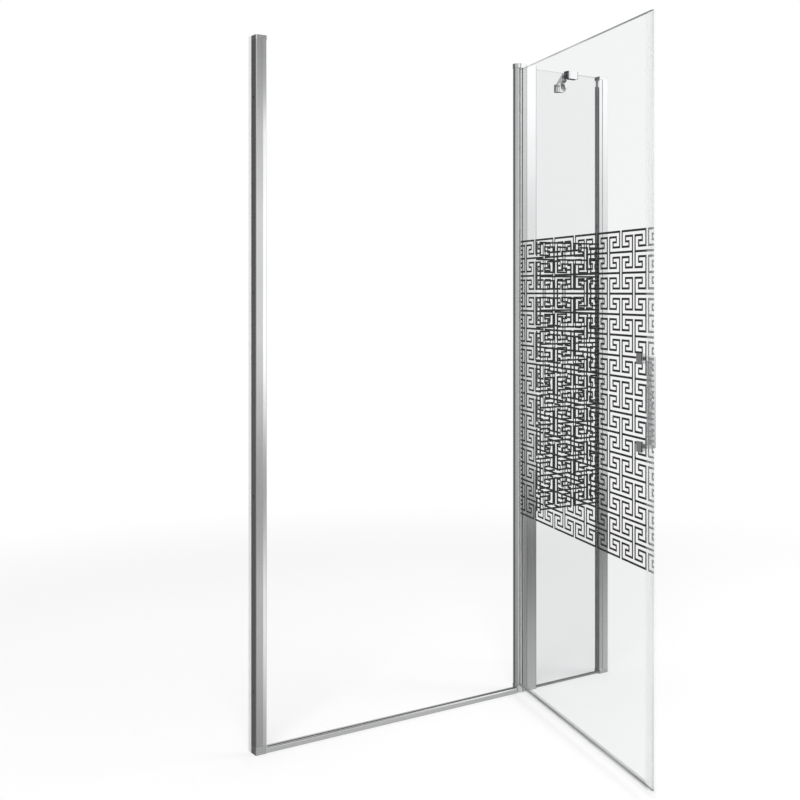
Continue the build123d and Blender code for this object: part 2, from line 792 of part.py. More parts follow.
# Fixed panel profile: flat-fronted glazing channel beside the pivot post, with a tongue for
# the post, a glass pocket and hollow chambers round it.
half_panel_pocket = half_glass + gasket
with BuildPart() as fixed_panel_profile:
    with BuildSketch() as section:
        with Locations((panel_left, sill_front)):
            Rectangle(panel_back_width, panel_depth, align=(Align.MIN, Align.MIN))
            Rectangle(
                panel_front_width,
                panel_y - half_panel_pocket - sill_front,
                align=(Align.MIN, Align.MIN),
            )
        fillet(section.vertices().group_by(Axis.Y)[0].sort_by(Axis.X)[-1], profile_wall)
        with Locations((panel_right, panel_y)):
            Rectangle(
                panel_pocket,
                2 * half_panel_pocket,
                align=(Align.MAX, Align.CENTER),
                mode=Mode.SUBTRACT,
            )
        with Locations((panel_left + profile_wall, sill_front + profile_wall)):
            Rectangle(
                panel_front_width - panel_pocket - 2 * profile_wall,
                panel_depth - 2 * profile_wall,
                align=(Align.MIN, Align.MIN),
                mode=Mode.SUBTRACT,
            )
        with Locations((panel_right - profile_wall, sill_front + profile_wall)):
            Rectangle(
                panel_pocket - profile_wall,
                panel_y - half_panel_pocket - sill_front - 2 * profile_wall,
                align=(Align.MAX, Align.MIN),
                mode=Mode.SUBTRACT,
            )
        with Locations(
            (panel_left + panel_front_width - panel_pocket, panel_y + half_panel_pocket + profile_wall)
        ):
            Rectangle(
                panel_back_width - panel_front_width + panel_pocket - profile_wall,
                panel_back - panel_y - half_panel_pocket - 2 * profile_wall,
                align=(Align.MIN, Align.MIN),
                mode=Mode.SUBTRACT,
            )
    extrude(amount=panel_height - panel_cap)
    with BuildSketch():
        with Locations((panel_left, panel_y)):
            Rectangle(tongue_depth, tongue_width - 2 * slide_gap, align=(Align.MAX, Align.CENTER))
    extrude(amount=post_height)
fixed_panel_profile.part.label = "fixed_panel_profile"
export_step(fixed_panel_profile.part, "parts/fixed_panel_profile.step")


# Panel top cap: a thin plate that closes the profile's upper end.
with BuildPart() as panel_top_cap:
    with BuildSketch(Plane.XY.offset(panel_height - panel_cap)) as section:
        with Locations((panel_left, sill_front)):
            Rectangle(panel_back_width, panel_depth, align=(Align.MIN, Align.MIN))
            Rectangle(
                panel_front_width,
                panel_y - half_panel_pocket - sill_front,
                align=(Align.MIN, Align.MIN),
            )
        fillet(section.vertices().group_by(Axis.Y)[0].sort_by(Axis.X)[-1], profile_wall)
    extrude(amount=panel_cap)
panel_top_cap.part.label = "panel_top_cap"
export_step(panel_top_cap.part, "parts/panel_top_cap.step")


# Fixed glass: the pane between the panel profile and the right wall profile.
with BuildPart() as fixed_glass:
    with BuildSketch(Plane.XY.offset(panel_glass_bottom)):
        with Locations((panel_glass_left, panel_y)):
            Rectangle(
                right_glass_end - panel_glass_left, glass, align=(Align.MIN, Align.CENTER)
            )
    extrude(amount=panel_glass_top - panel_glass_bottom)
fixed_glass.part.label = "fixed_glass"
export_step(fixed_glass.part, "parts/fixed_glass.step")


def glazing_gaskets(name, mouth, depth, side, front_mouth, back_mouth):
    """Two rubber strips that hold a pane's edge in a pocket, with a lip at the mouth."""
    with BuildPart() as gaskets:
        for face, lip in ((-1, front_mouth), (1, back_mouth)):
            with BuildSketch(Plane.XY.offset(panel_glass_bottom)):
                near = panel_y + face * half_glass
                far = panel_y + face * half_panel_pocket
                low = min(near, far)
                with Locations((mouth + side * depth / 2 + (lip - mouth) / 2, low)):
                    Rectangle(
                        depth - side * (lip - mouth),
                        gasket,
                        align=(Align.CENTER, Align.MIN),
                    )
                with Locations((lip - side * gasket_proud / 2, low)):
                    Rectangle(gasket_proud, gasket, align=(Align.CENTER, Align.MIN))
            extrude(amount=panel_glass_top - panel_glass_bottom)
    gaskets.part.label = name
    export_step(gaskets.part, "parts/" + name + ".step")


panel_back_mouth = panel_left + panel_back_width
glazing_gaskets(
    "panel_glazing_gaskets", panel_right, panel_bite, -1, panel_right, panel_back_mouth
)
glazing_gaskets("right_glazing_gaskets", right_face, right_bite, 1, right_face, right_face)


# Fixed glass bottom seal: a low U under the pane, between the two profiles.
with BuildPart() as fixed_glass_bottom_seal:
    with BuildSketch(Plane.YZ.offset(panel_right + gasket_proud + butt_gap)):
        with Locations((panel_y, 0)):
            Rectangle(2 * seal_half, panel_seal_height, align=(Align.CENTER, Align.MIN))
        with Locations((panel_y, panel_glass_bottom)):
            Rectangle(
                glass, panel_seal_height, align=(Align.CENTER, Align.MIN), mode=Mode.SUBTRACT
            )
    extrude(amount=right_face - panel_right - 2 * gasket_proud - 2 * butt_gap)
fixed_glass_bottom_seal.part.label = "fixed_glass_bottom_seal"
export_step(fixed_glass_bottom_seal.part, "parts/fixed_glass_bottom_seal.step")


# Right wall channel: the U on the other wall, drilled like the first.
with BuildPart() as right_wall_channel:
    with BuildSketch(Plane.XY.offset(right_bottom)) as section:
        with Locations((right_wall, right_mid)):
            Rectangle(right_channel_width, right_depth, align=(Align.MAX, Align.CENTER))
        fillet(section.vertices().group_by(Axis.X)[-1], corner_radius)
        with Locations((right_wall - channel_wall, right_mid)):
            Rectangle(
                right_channel_width,
                right_depth - 2 * channel_wall,
                align=(Align.MAX, Align.CENTER),
                mode=Mode.SUBTRACT,
            )
    extrude(amount=right_top - right_bottom)
    with BuildSketch(Plane.YZ.offset(right_wall)):
        with Locations((right_mid, right_height / 2)):
            with GridLocations(1, wall_hole_pitch, 1, 2):
                Circle(wall_hole_radius)
            with GridLocations(1, right_height - 2 * wall_hole_end, 1, 2):
                Circle(wall_hole_radius)
    extrude(amount=-channel_wall, mode=Mode.SUBTRACT)
    with BuildSketch(Plane.XZ.offset(-right_back)):
        with Locations((right_wall - lock_setback, right_height / 2)):
            with GridLocations(1, right_height - 2 * lock_end, 1, 2):
                Circle(lock_radius + hole_gap)
    extrude(amount=channel_wall, mode=Mode.SUBTRACT)
right_wall_channel.part.label = "right_wall_channel"
export_step(right_wall_channel.part, "parts/right_wall_channel.step")


# Right glass profile: nested in the wall channel, its pocket takes the fixed pane's edge.
with BuildPart() as right_glass_profile:
    with BuildSketch(Plane.XY.offset(right_bottom)) as section:
        right_profile_length = right_width - right_channel_width + right_overlap
        right_inner_front = right_mid - right_nested / 2 + profile_wall
        right_inner_back = right_mid + right_nested / 2 - profile_wall
        pocket_front = panel_y - half_panel_pocket
        pocket_rear = panel_y + half_panel_pocket
        with Locations((right_face, right_mid)):
            Rectangle(right_profile_length, right_nested, align=(Align.MIN, Align.CENTER))
        with Locations((right_face, panel_y)):
            Rectangle(
                right_pocket,
                2 * half_panel_pocket,
                align=(Align.MIN, Align.CENTER),
                mode=Mode.SUBTRACT,
            )
        with Locations((right_face + profile_wall, right_inner_front)):
            Rectangle(
                right_profile_length,
                pocket_front - profile_wall - right_inner_front,
                align=(Align.MIN, Align.MIN),
                mode=Mode.SUBTRACT,
            )
        with Locations((right_face + profile_wall, right_inner_back)):
            Rectangle(
                right_profile_length,
                right_inner_back - pocket_rear - profile_wall,
                align=(Align.MIN, Align.MAX),
                mode=Mode.SUBTRACT,
            )
        with Locations((right_face + right_pocket + profile_wall, right_inner_front)):
            Rectangle(
                right_profile_length,
                right_inner_back - right_inner_front,
                align=(Align.MIN, Align.MIN),
                mode=Mode.SUBTRACT,
            )
    extrude(amount=right_top - right_bottom)
    with BuildSketch(Plane.XZ.offset(-right_back)):
        with Locations((right_wall - lock_setback, right_height / 2)):
            with GridLocations(1, right_height - 2 * lock_end, 1, 2):
                Circle(lock_radius + hole_gap)
    extrude(amount=channel_wall + slide_gap + profile_wall, mode=Mode.SUBTRACT)
right_glass_profile.part.label = "right_glass_profile"
export_step(right_glass_profile.part, "parts/right_glass_profile.step")


def right_cap(name, base, height, slot_base, slot_height, rim):
    """An end cap over the right channel and profile, notched for the fixed pane."""
    with BuildPart() as cap:
        with BuildSketch(Plane.XY.offset(base)) as section:
            with Locations((right_wall, right_mid)):
                Rectangle(right_width, right_depth, align=(Align.MAX, Align.CENTER))
            fillet(section.vertices().group_by(Axis.X)[-1], corner_radius)
        extrude(amount=height)
        if rim:
            chamfer(cap.edges().group_by(Axis.Z)[-1], cap_chamfer)
        with BuildSketch(Plane.XY.offset(slot_base)):
            with Locations((right_face, panel_y)):
                Rectangle(
                    2 * right_bite + 2 * butt_gap,
                    2 * half_panel_pocket + 2 * butt_gap,
                    align=(Align.CENTER, Align.CENTER),
                )
        extrude(amount=slot_height, mode=Mode.SUBTRACT)
    cap.part.label = name
    export_step(cap.part, "parts/" + name + ".step")


slot_floor = panel_glass_bottom - butt_gap
slot_rise = panel_glass_top + butt_gap - right_top
right_cap("right_bottom_cap", 0, right_bottom_cap_height, slot_floor, right_bottom, False)
right_cap("right_top_cap", right_top, right_top_cap_height, right_top, slot_rise, True)


# Brace clamp: a block that straddles the top of the fixed pane, slit near one end, with a
# lug behind for the arm.
clamp_front = panel_y - half_glass - clamp_pad - clamp_front_jaw
clamp_back = panel_y + half_glass + clamp_pad + clamp_back_jaw
knuckle_y = clamp_back + knuckle_reach
clamp_mid_z = (clamp_bottom + panel_glass_top) / 2
with BuildPart() as brace_glass_clamp:
    with BuildSketch(Plane.XY.offset(clamp_bottom)):
        with Locations((clamp_x, clamp_front)):
            Rectangle(clamp_width, clamp_back - clamp_front, align=(Align.CENTER, Align.MIN))
    extrude(amount=clamp_top - clamp_bottom)
    fillet(brace_glass_clamp.edges().filter_by(Axis.Z), clamp_round)
    with BuildSketch(Plane.YZ.offset(clamp_x - clamp_width)):
        with Locations((panel_y, clamp_bottom)):
            Rectangle(
                glass + 2 * clamp_pad,
                panel_glass_top + clamp_pad - clamp_bottom,
                align=(Align.CENTER, Align.MIN),
            )
    extrude(amount=2 * clamp_width, mode=Mode.SUBTRACT)
    with BuildSketch(Plane.XY.offset(knuckle_bottom)):
        with Locations((clamp_x, knuckle_y)):
            Circle(knuckle_radius)
        with Locations((clamp_x, clamp_back)):
            Rectangle(2 * knuckle_radius, knuckle_reach, align=(Align.CENTER, Align.MIN))
    extrude(amount=knuckle_height)
    with BuildSketch(Plane.XY.offset(knuckle_bottom)):
        with Locations((clamp_x, knuckle_y)):
            RegularPolygon(brace_pin_radius + hole_gap, 12)
    extrude(amount=knuckle_height, mode=Mode.SUBTRACT)
    with BuildSketch(Plane.XZ.offset(-clamp_back)):
        with Locations((clamp_x - clamp_width / 3, clamp_mid_z)):
            RegularPolygon(clamp_screw_radius + hole_gap, 12)
    extrude(amount=clamp_back_jaw, mode=Mode.SUBTRACT)
    with BuildSketch(Plane.XZ.offset(-clamp_front)):
        with Locations((clamp_x - clamp_width / 4, clamp_top)):
            Rectangle(clamp_slit, 2 * (clamp_top - clamp_bottom))
    extrude(amount=-clamp_slit, mode=Mode.SUBTRACT)
brace_glass_clamp.part.label = "brace_glass_clamp"
export_step(brace_glass_clamp.part, "parts/brace_glass_clamp.step")


# Clamp pads: rubber between the jaws and the glass.
with BuildPart() as brace_clamp_pads:
    for side in (-1, 1):
        with BuildSketch(Plane.XY.offset(clamp_bottom)):
            with Locations((clamp_x, panel_y + side * (half_glass + clamp_pad / 2))):
                Rectangle(clamp_width - 2 * clamp_round, clamp_pad)
        extrude(amount=panel_glass_top - clamp_bottom)
brace_clamp_pads.part.label = "brace_clamp_pads"
export_step(brace_clamp_pads.part, "parts/brace_clamp_pads.step")


# Clamp screw: a set screw in the back jaw, flush with it.
with BuildPart() as brace_clamp_screw:
    with BuildSketch(Plane.XZ.offset(-clamp_back)):
        with Locations((clamp_x - clamp_width / 3, clamp_mid_z)):
            RegularPolygon(clamp_screw_radius, 12)
    extrude(amount=clamp_back_jaw)
brace_clamp_screw.part.label = "brace_clamp_screw"
export_step(brace_clamp_screw.part, "parts/brace_clamp_screw.step")


# Brace arm: a lever, deep and forked at the clamp, thinning to an eye that lies on the
# foot's drum.
drum_x = right_wall - foot_standoff
drum_top = arm_top - arm_end_height
arm_run = hypot(drum_x - clamp_x, foot_y - knuckle_y)
arm_dir = ((drum_x - clamp_x) / arm_run, (foot_y - knuckle_y) / arm_run, 0)
arm_side = Plane(origin=(clamp_x, knuckle_y, 0), x_dir=arm_dir, z_dir=(arm_dir[1], -arm_dir[0], 0))
with BuildPart() as brace_arm:
    with BuildSketch(arm_side.offset(-arm_width / 2)):
        with BuildLine():
            Polyline(
                (0, arm_bottom),
                (0, arm_top),
                (arm_run, arm_top),
                (arm_run, drum_top),
                (arm_run - drum_radius, drum_top),
            )
            Spline(
                (arm_run - drum_radius, drum_top),
                (arm_run / 2, (arm_bottom + drum_top) / 2 + 2),
                (arm_fork_length, arm_bottom),
                tangents=((-1, 0), (-1, 0)),
            )
            Line((arm_fork_length, arm_bottom), (0, arm_bottom))
        make_face()
    extrude(amount=arm_width)
    with BuildSketch(Plane.XY.offset(arm_bottom)):
        with Locations((clamp_x, knuckle_y)):
            Circle(arm_width / 2)
    extrude(amount=arm_top - arm_bottom)
    with BuildSketch(Plane.XY.offset(drum_top)):
        with Locations((drum_x, foot_y)):
            Circle(drum_radius)
    extrude(amount=arm_end_height)
    with BuildSketch(Plane.XY.offset(knuckle_bottom - fork_gap)):
        with Locations((clamp_x, knuckle_y)):
            Circle(knuckle_radius + 2)
    extrude(amount=knuckle_height + 2 * fork_gap, mode=Mode.SUBTRACT)
    with BuildSketch(Plane.XY.offset(arm_bottom)):
        with Locations((clamp_x, knuckle_y), (drum_x, foot_y)):
            RegularPolygon(brace_pin_radius + hole_gap, 12)
    extrude(amount=arm_top - arm_bottom, mode=Mode.SUBTRACT)
brace_arm.part.label = "brace_arm"
export_step(brace_arm.part, "parts/brace_arm.step")


# Brace pins: one through the fork and the clamp's lug, one through the eye into the drum.
with BuildPart() as brace_pins:
    with BuildSketch(Plane.XY.offset(arm_bottom)):
        with Locations((clamp_x, knuckle_y)):
            RegularPolygon(brace_pin_radius, 12)
    extrude(amount=arm_top - arm_bottom)
    with BuildSketch(Plane.XY.offset(arm_top)):
        with Locations((drum_x, foot_y)):
            RegularPolygon(brace_pin_radius, 12)
    extrude(amount=-arm_end_height - drum_height + 3)
brace_pins.part.label = "brace_pins"
export_step(brace_pins.part, "parts/brace_pins.step")


# Brace wall foot: a round flange on the wall with a screw hole, and the drum that the arm
# turns on, joined by a neck below the hole.
with BuildPart() as brace_wall_foot:
    with BuildSketch(Plane.YZ.offset(right_wall)):
        with Locations((foot_y, foot_z)):
            Circle(foot_radius)
    extrude(amount=-foot_thick)
    with BuildSketch(Plane.XY.offset(drum_top - drum_height)):
        with Locations((drum_x, foot_y)):
            Circle(drum_radius)
    extrude(amount=drum_height)
    with BuildSketch(Plane.XY.offset(drum_top - drum_height + 1)):
        with Locations((drum_x, foot_y)):
            Rectangle(foot_standoff - foot_thick / 2, neck_width, align=(Align.MIN, Align.CENTER))
    extrude(amount=neck_height)
    with BuildSketch(Plane.XY.offset(drum_top - drum_height + 3)):
        with Locations((drum_x, foot_y)):
            RegularPolygon(brace_pin_radius + hole_gap, 12)
    extrude(amount=drum_height, mode=Mode.SUBTRACT)
    with BuildSketch(Plane.YZ.offset(right_wall)):
        with Locations((foot_y, foot_z)):
            Circle(foot_hole_radius)
    extrude(amount=-foot_thick, mode=Mode.SUBTRACT)
brace_wall_foot.part.label = "brace_wall_foot"
export_step(brace_wall_foot.part, "parts/brace_wall_foot.step")
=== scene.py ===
import math

import bmesh
import bpy
from mathutils import Matrix, Vector


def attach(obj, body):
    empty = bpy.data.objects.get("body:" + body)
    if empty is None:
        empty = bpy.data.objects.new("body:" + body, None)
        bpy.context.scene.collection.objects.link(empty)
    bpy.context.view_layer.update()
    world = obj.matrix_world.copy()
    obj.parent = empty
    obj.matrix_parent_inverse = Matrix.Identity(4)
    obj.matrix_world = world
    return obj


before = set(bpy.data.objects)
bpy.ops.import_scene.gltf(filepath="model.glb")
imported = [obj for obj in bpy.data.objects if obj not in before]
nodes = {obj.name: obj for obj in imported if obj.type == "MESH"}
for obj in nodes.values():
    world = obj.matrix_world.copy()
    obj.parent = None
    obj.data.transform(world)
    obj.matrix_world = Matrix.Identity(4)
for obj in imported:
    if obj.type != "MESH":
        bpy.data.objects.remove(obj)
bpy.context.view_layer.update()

# Camera: stands outside the enclosure to the left, at chest height. It is level, so that the
# uprights stay parallel, and its lens is shifted to bring the door into the frame.
camera_data = bpy.data.cameras.new("camera")
camera_data.sensor_width = 36.0
camera_data.lens = 54.19
camera_data.shift_x = -0.0597
camera_data.shift_y = -0.1349
camera_data.clip_end = 60.0
camera = bpy.data.objects.new("camera", camera_data)
camera.location = (-1.9399, -2.8183, 1.1814)
camera.rotation_euler = (math.radians(90.0), 0.0, math.radians(-34.62))
bpy.context.scene.collection.objects.link(camera)
bpy.context.scene.camera = camera
bpy.context.scene.view_settings.view_transform = "Standard"


# Studio: a white surround, which the camera sees as plain white, also through the glass. All
# that mirrors sees a room with soft walls instead, pale in front and darker behind. Two large
# soft lamps hang in front and above.
class Wire:
    """A socket of a shader, so that sums on sockets read as sums."""

    def __init__(self, socket):
        self.socket = socket

    def add(self, kind, settings=None, inputs=None, output=0):
        """A node of this kind: its settings first, then the values or links of its sockets."""
        tree = self.socket.id_data
        made = tree.nodes.new(kind)
        for name, value in (settings or {}).items():
            setattr(made, name, value)
        for name, value in (inputs or {}).items():
            if isinstance(value, Wire):
                tree.links.new(value.socket, made.inputs[name])
            else:
                made.inputs[name].default_value = value
        return Wire(made.outputs[output])

    def take(self, other):
        """Links the other socket to this input."""
        self.socket.id_data.links.new(other.socket, self.socket)

    def maths(self, operation, *values):
        """A Math node on these values or sockets."""
        return self.add("ShaderNodeMath", {"operation": operation}, dict(enumerate(values)))

    def __add__(self, other):
        return self.maths("ADD", self, other)

    __radd__ = __add__

    def __sub__(self, other):
        return self.maths("SUBTRACT", self, other)

    def __rsub__(self, other):
        return self.maths("SUBTRACT", other, self)

    def __mul__(self, other):
        return self.maths("MULTIPLY", self, other)

    def step(self, low, high):
        """0 below low, 1 above high, smooth between."""
        return self.add(
            "ShaderNodeMapRange",
            {"interpolation_type": "SMOOTHSTEP"},
            {"Value": self, "From Min": low, "From Max": high},
        )


def mixed(factor, first, second):
    """Two colours, or a colour and a socket, mixed by factor."""
    return factor.add(
        "ShaderNodeMix", {"data_type": "RGBA"}, {0: factor, 6: first, 7: second}, output=2
    )


def bounced(end, kind):
    """1 for a ray that has bounced at least once in this way, Glossy or Diffuse, else 0."""
    return end.add("ShaderNodeLightPath", output=kind + " Depth").step(0.2, 0.8)


world = bpy.data.worlds.new("studio")
world.use_nodes = True
world.node_tree.nodes.clear()
sky = Wire(world.node_tree.nodes.new("ShaderNodeOutputWorld").inputs["Surface"])
direction = sky.add("ShaderNodeTexCoord", output="Generated")
east = sky.add("ShaderNodeSeparateXYZ", {}, {0: direction}, output="X")
north = sky.add("ShaderNodeSeparateXYZ", {}, {0: direction}, output="Y")
height = sky.add("ShaderNodeSeparateXYZ", {}, {0: direction}, output="Z")


def walls(levels):
    """The room's brightness by height: 0.5 is level, 0 is 30 degrees down, 1 is 30 degrees up."""
    upward = height + 0.5
    shade = upward.add("ShaderNodeValToRGB", {}, {"Fac": upward})
    (lowest, first_level), *others = levels
    stops = shade.socket.node.color_ramp.elements
    stops.remove(stops[1])
    stops[0].position = lowest
    stops[0].color = (first_level, first_level, first_level, 1)
    for place, level in others:
        stops.new(place).color = (level, level, level, 1)
    return shade


room_left = walls(
    (
        (0.05, 0.30),
        (0.16, 0.34),
        (0.19, 0.50),
        (0.24, 0.84),
        (0.29, 0.56),
        (0.33, 0.26),
        (0.37, 0.34),
        (0.415, 0.80),
        (0.44, 1.0),
        (0.95, 0.75),
    )
)
room_right = walls(
    (
        (0.05, 0.42),
        (0.18, 0.38),
        (0.22, 0.32),
        (0.26, 0.19),
        (0.29, 0.11),
        (0.33, 0.22),
        (0.36, 0.60),
        (0.40, 0.64),
        (0.56, 0.70),
        (0.62, 0.88),
        (0.66, 1.0),
    )
)

# The front wall has a left and a right part, a glow low on the right part and a darker patch
# high on the left one. The west wall is darker low down. The back wall is lit in its middle
# and high up.
low_glow = east.step(0.64, 0.665) * (1 - height.step(-0.26, -0.17)) * 0.28
room_front = mixed(east.step(0.5, 0.57), room_left, room_right) + low_glow
high_corner = height.step(0.13, 0.165) * (1 - east.step(0.48, 0.56)) * east.step(0.1, 0.3)
room_west = 0.34 + height.step(-0.35, 0.05) * 0.26
west = 1 - east.step(-0.62, -0.3)
lit_back = east.step(-0.34, -0.25) * (1 - east.step(0.5, 0.62))
room_back = 0.13 + lit_back * 0.37 + height.step(0.25, 0.8) * 0.5
behind = north.step(-0.05, 0.45)
facing = (room_front * (1.25 - high_corner * 0.85)) * (1 - west) + room_west * west
room = facing * (1 - behind) + room_back * behind
mirrored = bounced(sky, "Glossy")
scattered = bounced(sky, "Diffuse")
soft_light = 0.72
brightness = (room * mirrored + (1 - mirrored)) * (1 - scattered) + scattered * soft_light
sky.take(sky.add("ShaderNodeBackground", {}, {"Color": (1, 1, 1, 1), "Strength": brightness}))
world.cycles.sampling_method = "NONE"
bpy.context.scene.world = world

lamp_target = Vector((0.1, 0.1, 0.9))
for lamp_name, place, across, power in (
    ("lamp_front", (-2.6, -3.0, 3.4), 2.6, 78.0),
    ("lamp_right", (2.9, -1.6, 2.9), 2.0, 34.0),
):
    lamp_data = bpy.data.lights.new(lamp_name, "AREA")
    lamp_data.shape = "SQUARE"
    lamp_data.size = across
    lamp_data.energy = power
    lamp = bpy.data.objects.new(lamp_name, lamp_data)
    lamp.location = place
    lamp.visible_glossy = False
    lamp.visible_transmission = False
    aim = lamp_target - Vector(place)
    lamp.rotation_euler = aim.to_track_quat("-Z", "Y").to_euler()
    bpy.context.scene.collection.objects.link(lamp)


# Floor: a plain pale surface at the underside of the threshold. It keeps the soft shadow
# of the door and runs out into the white surround.
def new_finish(name):
    """An empty material, and the end of its shader."""
    material = bpy.data.materials.new(name)
    material.use_nodes = True
    material.node_tree.nodes.clear()
    end = material.node_tree.nodes.new("ShaderNodeOutputMaterial")
    return material, Wire(end.inputs["Surface"])


def finished_mesh(name, shape, material, body):
    """A modelled shape becomes a piece, which rides on its body if it has one."""
    mesh = bpy.data.meshes.new(name)
    shape.to_mesh(mesh)
    shape.free()
    mesh.materials.append(material)
    piece = bpy.data.objects.new(name, mesh)
    bpy.context.scene.collection.objects.link(piece)
    if body:
        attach(piece, body)
    return piece


floor_radius, floor_drop = 14.0, 0.0004
fade_start, fade_end = 1.8, 3.4
floor_finish, floor_end = new_finish("pale_floor")
place_on_floor = floor_end.add("ShaderNodeTexCoord", output="Object")
outward = floor_end.add(
    "ShaderNodeVectorMath", {"operation": "LENGTH"}, {0: place_on_floor}, output="Value"
)
faded = outward.step(fade_start, fade_end)
mirrored = bounced(floor_end, "Glossy")
scattered = bounced(floor_end, "Diffuse")
lit = floor_end.add("ShaderNodeBsdfDiffuse", {}, {"Color": (0.8, 0.8, 0.8, 1)})
lift = floor_end.add("ShaderNodeEmission", {}, {"Strength": 0.24 - scattered * 0.24})
paper = floor_end.add("ShaderNodeAddShader", {}, {0: lit, 1: lift})
white = floor_end.add("ShaderNodeEmission", {}, {"Strength": 1.0 - scattered * 0.3})
unseen = floor_end.add("ShaderNodeBsdfTransparent")
ground = floor_end.add("ShaderNodeMixShader", {}, {0: faded, 1: paper, 2: white})
floor_end.take(floor_end.add("ShaderNodeMixShader", {}, {0: mirrored, 1: ground, 2: unseen}))
floor_shape = bmesh.new()
bmesh.ops.create_circle(floor_shape, cap_ends=True, segments=96, radius=floor_radius)
bmesh.ops.translate(floor_shape, verts=floor_shape.verts, vec=(0, 0, -floor_drop))
floor = finished_mesh("floor", floor_shape, floor_finish, None)


# Wall channels: bright-anodised extrusions screwed to the two side walls. The die leaves
# faint lines along them, and the anodising a slight satin bloom.
def dress(material, *names):
    """The material goes on to these nodes."""
    for name in names:
        nodes[name].material_slots[0].material = material


def coat(end, values):
    """The surface of a material, with these values and links on its sockets."""
    end.take(end.add("ShaderNodeBsdfPrincipled", {}, values))


def bright_extrusion(name, along=(1, 1, 0.004), tone=0.86, sheen=0.12, lines=0.35, painted_dark_strips=()):
    """Bright aluminium with die lines; along is how the pattern is stretched on x, y, z. The
    painted dark strips run from one x to another; there the colour is darkened as painted shade
    and painted dark reflection, not by any change in the metal."""
    material, end = new_finish(name)
    place = end.add("ShaderNodeTexCoord", output="Object")
    stretched = end.add("ShaderNodeMapping", {}, {"Vector": place, "Scale": along})
    die = end.add("ShaderNodeTexNoise", {}, {"Vector": stretched, "Scale": 900.0, "Detail": 3.0})
    bloom = end.add("ShaderNodeTexNoise", {}, {"Vector": place, "Scale": 7.0, "Detail": 4.0})
    colour = mixed(
        bloom.step(0.3, 0.7),
        (tone, tone * 1.004, tone * 1.01, 1),
        (tone * 0.96, tone * 0.965, tone * 0.972, 1),
    )
    across = end.add("ShaderNodeSeparateXYZ", {}, {0: place}, output="X")
    blur = 0.0002
    for low, high in painted_dark_strips:
        # Painted shade and painted dark reflection: inside each strip the colour falls to a third
        # of the tone.
        painted_dark = across.step(low, low + blur) * (1 - across.step(high - blur, high))
        colour = mixed(painted_dark, colour, (tone * 0.3, tone * 0.3, tone * 0.31, 1))
    bump = end.add(
        "ShaderNodeBump", {}, {"Strength": lines, "Distance": 0.00002, "Height": die}
    )
    coat(
        end,
        {
            "Base Color": colour,
            "Metallic": 1.0,
            "Roughness": die.step(0.2, 0.8) * 0.07 + bloom * 0.06 + (sheen - 0.05),
            "Normal": bump,
        },
    )
    return material


# The strike channel's colour is lowered to a tone of 0.58, against 0.92 for the same channel on the
# right wall: painted shade, a darker copy of the same metal.
dress(bright_extrusion("channel_aluminium_painted_darker", tone=0.58, sheen=0.17), "strike_wall_channel")
dress(bright_extrusion("polished_channel", tone=0.92, sheen=0.1), "right_wall_channel")


# Strike profile and its caps: the upright that the door closes against slides in its
# channel. Both its ends are closed by chromed mouldings, as are those of the other posts.
dress(bright_extrusion("upright_aluminium", tone=0.88, sheen=0.1), "strike_profile")


def chromed(name, tone=0.84, sheen=0.06):
    """Bright chrome over a moulding or a casting, with the faint swirl of polishing."""
    material, end = new_finish(name)
    place = end.add("ShaderNodeTexCoord", output="Object")
    swirl = end.add(
        "ShaderNodeTexNoise",
        {},
        {"Vector": place, "Scale": 160.0, "Detail": 5.0, "Distortion": 1.2},
    )
    wave = end.add("ShaderNodeTexNoise", {}, {"Vector": place, "Scale": 45.0, "Detail": 1.0})
    colour = mixed(
        swirl.step(0.35, 0.7),
        (tone, tone * 1.003, tone * 1.01, 1),
        (tone * 0.95, tone * 0.955, tone * 0.965, 1),
    )
    bump = end.add(
        "ShaderNodeBump", {}, {"Strength": 0.25, "Distance": 0.00005, "Height": wave}
    )
    coat(
        end,
        {
            "Base Color": colour,
            "Metallic": 1.0,
            "Roughness": swirl * 0.08 + (sheen - 0.02),
            "Normal": bump,
        },
    )
    return material


dress(
    chromed("cap_chrome"),
    "strike_top_cap",
    "strike_bottom_cap",
    "panel_top_cap",
    "right_top_cap",
    "right_bottom_cap",
)


# Lock screws, pins and studs: plain stainless turnings. A fine grain and faint stains keep
# them from shining like the chrome.
def turned_steel(name, sheen=0.24):
    """Turned stainless steel, greyer and duller than chrome."""
    material, end = new_finish(name)
    place = end.add("ShaderNodeTexCoord", output="Object")
    grain = end.add("ShaderNodeTexNoise", {}, {"Vector": place, "Scale": 1400.0, "Detail": 3.0})
    stain = end.add("ShaderNodeTexNoise", {}, {"Vector": place, "Scale": 90.0, "Detail": 3.0})
    colour = mixed(stain.step(0.3, 0.7), (0.66, 0.66, 0.67, 1), (0.56, 0.56, 0.58, 1))
    bump = end.add("ShaderNodeBump", {}, {"Strength": 0.3, "Distance": 0.00003, "Height": grain})
    coat(
        end,
        {
            "Base Color": colour,
            "Metallic": 1.0,
            "Roughness": grain * 0.16 + (sheen - 0.06),
            "Normal": bump,
        },
    )
    return material


dress(
    turned_steel("stainless"),
    "strike_lock_screws",
    "right_lock_screws",
    "pivot_pins",
    "pivot_block_screws",
    "handle_studs",
    "brace_clamp_screw",
    "brace_pins",
)


